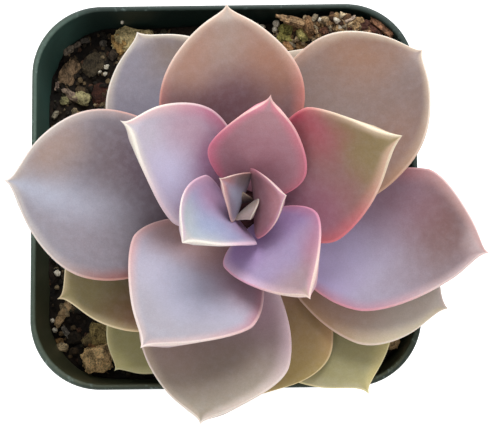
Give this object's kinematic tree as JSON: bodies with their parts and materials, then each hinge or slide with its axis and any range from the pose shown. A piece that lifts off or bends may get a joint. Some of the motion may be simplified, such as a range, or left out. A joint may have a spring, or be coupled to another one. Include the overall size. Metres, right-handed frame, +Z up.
{
  "type": "potted echeveria",
  "caption": "Potted echeveria: an open rosette of broad, pointed, powdery lavender and rose leaves on a short stem, in bark mix in a thin-walled square nursery pot.",
  "frame": {"origin": "the middle of the flat pad under the pot's floor, where the upright middle line of the square pot meets the plane that it stands on", "axes": "+Z up along the pot's middle line, +X and +Y across the pot, square to its flat sides; +Y is the top of the picture"},
  "size_m": [0.1045, 0.0971, 0.1212],
  "materials": {
    "pot": "satin dark green, lightly scuffed along the rim",
    "soil": "rough dark peat mix with bark and white grains",
    "stem": "dry green-brown bark",
    "leaf_olive": "powdery olive green with a yellow-green edge",
    "leaf_tan": "powdery tan to mauve with a peach edge",
    "leaf_grey": "powdery grey-lavender with a cream edge",
    "leaf_lavender": "powdery lavender with a pink edge",
    "leaf_rose": "powdery mauve-rose with a coral and cream edge",
    "leaf_bud": "powdery rose-beige"
  },
  "bodies": {
    "root": {"pot": "pot", "soil": "soil", "stem": "stem", "leaf_01": "leaf_olive", "leaf_02": "leaf_olive", "leaf_03": "leaf_olive", "leaf_04": "leaf_olive", "leaf_05": "leaf_olive", "leaf_06": "leaf_tan", "leaf_07": "leaf_tan", "leaf_08": "leaf_tan", "leaf_09": "leaf_grey", "leaf_10": "leaf_grey", "leaf_11": "leaf_lavender", "leaf_12": "leaf_grey", "leaf_13": "leaf_grey", "leaf_14": "leaf_rose", "leaf_15": "leaf_lavender", "leaf_16": "leaf_rose", "leaf_17": "leaf_lavender", "leaf_18": "leaf_lavender", "leaf_19": "leaf_rose", "leaf_20": "leaf_lavender", "leaf_21": "leaf_rose", "leaf_22": "leaf_bud", "leaf_23": "leaf_bud", "leaf_24": "leaf_bud"}
  },
  "joints": []
}
